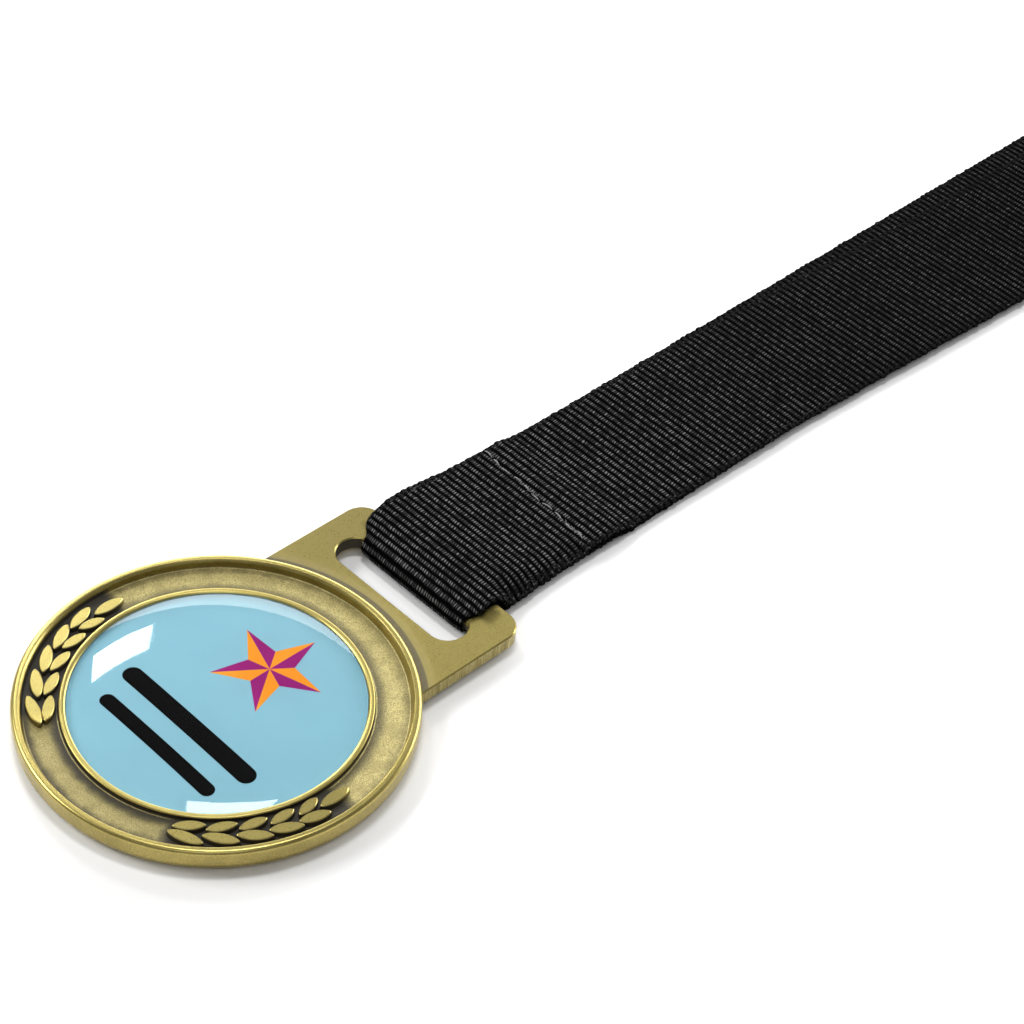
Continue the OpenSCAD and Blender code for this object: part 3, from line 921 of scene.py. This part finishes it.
def strip_rings(stations, shares):
    """Closed rings of points round the strip, and how far across it each column lies."""
    along, y, z, tangent, left, right, _ = stations
    rib = np.sqrt(np.abs(np.sin(np.pi * along / RIB)))

    # The selvedges bulge at each rib, unevenly, but not between the lug's posts.
    free = np.clip((np.abs(y - BAR_Y) - 4.6) / 1.5, 0.25, 1)
    bulge = 0.24 * free * rib * (0.2 + scattered(np.floor(along / RIB)))
    middle, half = (left + right) / 2, (right - left) / 2
    grid_x = middle[:, None] + shares[None, :] * (half + bulge)[:, None]

    # Full in the middle, thin at the edges, and thinner between ribs
    body = np.sqrt(np.clip(1 - np.abs(shares) ** 14, 0.04, 1))
    thick = (STRIP_T / 2 - 0.005) * body[None, :] - 0.13 * (1 - rib)[:, None] * body[None, :]

    # The stitches pull the top layer in.
    drop = np.zeros_like(grid_x)
    top_run = (z > 1.3) & (z < 2.2) & (tangent[:, 0] > 0.9) & (y < TAB_END + 3)
    pull = np.exp(-((y[:, None] - seam_line(grid_x)) / 0.65) ** 2) * (grid_x < 8.6)
    drop[top_run] = -STITCH_DEPTH * pull[top_run]

    hang = hanging(y, z, tangent, shares)
    normal = np.stack([-tangent[:, 1], tangent[:, 0]], 1)
    sides = []
    for sign in (1, -1):
        offset = sign * thick + drop * (sign > 0)
        py = y[:, None] + normal[:, :1] * offset
        pz = z[:, None] + normal[:, 1:] * offset - hang
        sides.append(np.stack([grid_x, py, pz], 2))
    rings = np.concatenate([sides[0], sides[1][:, ::-1]], 1)
    rings[:, :, 2] = np.maximum(rings[:, :, 2], 0.01)
    return rings, grid_x - middle[:, None]


def build_ribbon(material):
    """The whole ribbon as one closed strip with real ribs."""
    stations = strip_stations(strip_route())
    along, length = stations[0], stations[-1]
    half_shares = np.array([0.3, 0.6, 0.74, 0.82, 0.88, 0.93, 0.965, 0.985, 1])
    shares = np.concatenate([-half_shares[::-1], [0], half_shares])
    rings, offsets = strip_rings(stations, shares)
    count, around = rings.shape[:2]
    faces = [tuple(range(around))]
    for k in range(count - 1):
        a, b = k * around, (k + 1) * around
        faces += [(a + i, b + i, b + (i + 1) % around, a + (i + 1) % around)
                  for i in range(around)]
    last = (count - 1) * around
    faces.append(tuple(last + i for i in reversed(range(around))))
    strip = add_object("neck_ribbon", rings.reshape(-1, 3), faces, [material], sharp_deg=70)

    # Place in the weave: across and along the strip, laid flat
    across = np.concatenate([offsets, offsets[:, ::-1]], 1)
    place = np.stack([across, np.repeat(along[:, None], around, 1)], 2).reshape(-1, 2) * MM
    layer = strip.data.uv_layers.new(name="weave")
    corner = np.zeros(len(strip.data.loops), np.int32)
    strip.data.loops.foreach_get("vertex_index", corner)
    layer.data.foreach_set("uv", place[corner].astype(np.float32).ravel())

    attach(strip, "ribbon")
    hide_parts("ribbon_eye", "ribbon_upper_leg", "ribbon_lower_leg", "ribbon_roll")


# ---- seam ----

def stitch_points(x, length, rise, height, sag):
    """One stitch: out of the cloth, along it and back in."""
    points = []
    for k in range(STITCH_POINTS):
        share = k / (STITCH_POINTS - 1)
        px = x + length * share
        lift = math.sin(math.pi * share) ** 0.6 * rise - sag
        points.append((px, seam_line(px) + rng.uniform(-0.03, 0.03), height + lift))
    return points


def build_needle_thread(material):
    """Grey top stitches, uneven, with a fuzzy back-tack at the near end."""
    vertices, faces = [], []
    radius = (needle_high.z - needle_low.z) / 2
    surface = needle_high.z - 0.05
    x = needle_low.x
    while x < needle_high.x - 1.0:
        length = rng.uniform(1.5, 2.0)
        points = stitch_points(x, length, 0.22, surface, 0.18)
        radii = [radius * (0.25 + 0.4 * math.sin(math.pi * (k + 0.5) / STITCH_POINTS))
                 for k in range(STITCH_POINTS)]
        tube(points, radii, 8, vertices, faces)
        x += length + rng.uniform(0.3, 0.6)
    for _ in range(5):
        x = needle_high.x - rng.uniform(0.2, 1.9)
        points = stitch_points(x, rng.uniform(0.7, 1.2), 0.25, surface, 0.12)
        points = [(px, py + rng.uniform(-0.25, 0.25), pz) for px, py, pz in points[::2]]
        tube(points, [0.04, 0.06, 0.07, 0.06, 0.035], 7, vertices, faces)
    for _ in range(FIBRES):
        x = rng.uniform(needle_low.x + 1.5, needle_high.x)
        if rng.random() < 0.55:
            x = needle_high.x - abs(rng.gauss(0, 1.6))
        reach = rng.uniform(0.25, 0.7)
        heading = rng.uniform(0, 2 * math.pi)
        start = Vector((x, seam_line(x), surface))
        points = []
        for k in range(5):
            share = k / 4
            swing = heading + 1.4 * share
            points.append(start + Vector((math.cos(swing), math.sin(swing) * 0.6, 0)) * reach * share
                          + Vector((0, 0, 0.16 * math.sin(2.4 * share))))
        tube(points, [FIBRE_R] * 5, 5, vertices, faces)
    thread = add_object("seam_needle_thread", vertices, faces, [material], sharp_deg=60)
    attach(thread, "ribbon")
    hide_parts("needle_thread")


def build_bobbin_thread(material):
    """Black stitches on the underside."""
    low, high = box_mm("bobbin_thread")
    radius = (high.z - low.z) / 2
    vertices, faces = [], []
    x = low.x
    while x < high.x - 1.0:
        length = rng.uniform(1.5, 1.9)
        points = [(px, py, 2 * (low.z + radius) - pz)
                  for px, py, pz in stitch_points(x, length, 0.08, low.z + radius, 0.06)]
        tube(points, [radius * 0.8] * STITCH_POINTS, 8, vertices, faces)
        x += length + rng.uniform(0.35, 0.6)
    thread = add_object("seam_bobbin_thread", vertices, faces, [material], sharp_deg=60)
    clear_of_floor = Matrix.Translation((0, 0, 0.01 * MM))
    thread.data.transform(clear_of_floor)
    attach(thread, "ribbon")
    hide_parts("bobbin_thread")


# ---- stage, lights and camera ----

def direction(azimuth, elevation):
    """Unit vector: azimuth in degrees from +Y towards +X, elevation over the floor."""
    a, e = math.radians(azimuth), math.radians(elevation)
    return Vector((math.sin(a) * math.cos(e), math.cos(a) * math.cos(e), math.sin(e)))


def softbox(name, azimuth, elevation, distance, width, height, radiance):
    """Rectangular lamp aimed at the disc, with its width level."""
    lamp = bpy.data.lights.new(name, "AREA")
    lamp.shape = "RECTANGLE"
    lamp.size, lamp.size_y = width * MM, height * MM
    lamp.energy = radiance * math.pi * lamp.size * lamp.size_y
    obj = bpy.data.objects.new(name, lamp)
    aim = direction(azimuth, elevation)
    obj.location = aim * distance * MM
    obj.rotation_mode = "QUATERNION"
    obj.rotation_quaternion = aim.to_track_quat("Z", "Y")
    obj.visible_camera = False
    bpy.context.scene.collection.objects.link(obj)


def build_stage():
    half = 4.0  # metres
    mesh = bpy.data.meshes.new("studio_floor")
    mesh.from_pydata([(-half, -half, 0), (half, -half, 0), (half, half, 0), (-half, half, 0)],
                     [], [(0, 1, 2, 3)])
    mesh.materials.append(floor_material())
    floor = bpy.data.objects.new("studio_floor", mesh)
    bpy.context.scene.collection.objects.link(floor)

    world = bpy.data.worlds.new("studio")
    world.use_nodes = True
    # The room seems white to the eye, and lights the medal with much less.
    nodes, links = world.node_tree.nodes, world.node_tree.links
    background = nodes["Background"]
    background.inputs["Color"].default_value = grey(1.0)
    strength = nodes.new("ShaderNodeMapRange")
    strength.inputs["To Min"].default_value = 0.25
    strength.inputs["To Max"].default_value = 1.0
    links.new(nodes.new("ShaderNodeLightPath").outputs["Is Camera Ray"], strength.inputs["Value"])
    links.new(strength.outputs["Result"], background.inputs["Strength"])
    bpy.context.scene.world = world

    softbox("window_box", -64, 37, 700, 115, 95, 26)
    softbox("overhead_box", -42, 76, 700, 190, 105, 26)
    softbox("back_strip", -28, 19, 900, 2200, 340, 7)
    softbox("left_box", -120, 38, 1000, 500, 400, 8.5)
    softbox("front_box", 135, 58, 1000, 500, 400, 1.5)
    bpy.context.scene.view_settings.view_transform = "Standard"


CAMERA_TARGET = (-3.158, 53.329, 0.0)
CAMERA_DISTANCE = 374.805
CAMERA_HEADING = -42.494, -42.766
LENS_MM = 98.65
ROLL_DEG = 5.173


def build_camera():
    target = Vector(CAMERA_TARGET) * MM
    away = direction(*CAMERA_HEADING)
    camera = bpy.data.objects.new("camera", bpy.data.cameras.new("camera"))
    camera.data.sensor_width = 36.0
    camera.data.lens = LENS_MM
    camera.data.clip_start, camera.data.clip_end = 0.01, 20.0
    camera.location = target - away * CAMERA_DISTANCE * MM
    camera.rotation_mode = "QUATERNION"
    roll = Matrix.Rotation(math.radians(ROLL_DEG), 3, "Z").to_quaternion()
    camera.rotation_quaternion = away.to_track_quat("-Z", "Y") @ roll
    bpy.context.scene.collection.objects.link(camera)
    bpy.context.scene.camera = camera


build_camera()
build_stage()
build_casting(brass_material())
build_print([
    print_material("sky_film", (0.179, 0.349, 0.414), (0.172, 0.336, 0.401)),
    print_material("amber_ink", (0.66, 0.25, 0.027), (0.6, 0.2, 0.015)),
    print_material("plum_ink", (0.25, 0.014, 0.13), (0.19, 0.011, 0.11)),
    print_material("black_ink", (0.0006, 0.0006, 0.0007), (0.0009, 0.0009, 0.001)),
])
build_dome(resin_material())
finish_adhesive(adhesive_material())
build_ribbon(webbing_material())
build_needle_thread(thread_material("grey_thread", 0.3, 0.07))
build_bobbin_thread(thread_material("black_thread", 0.03, 0.008))
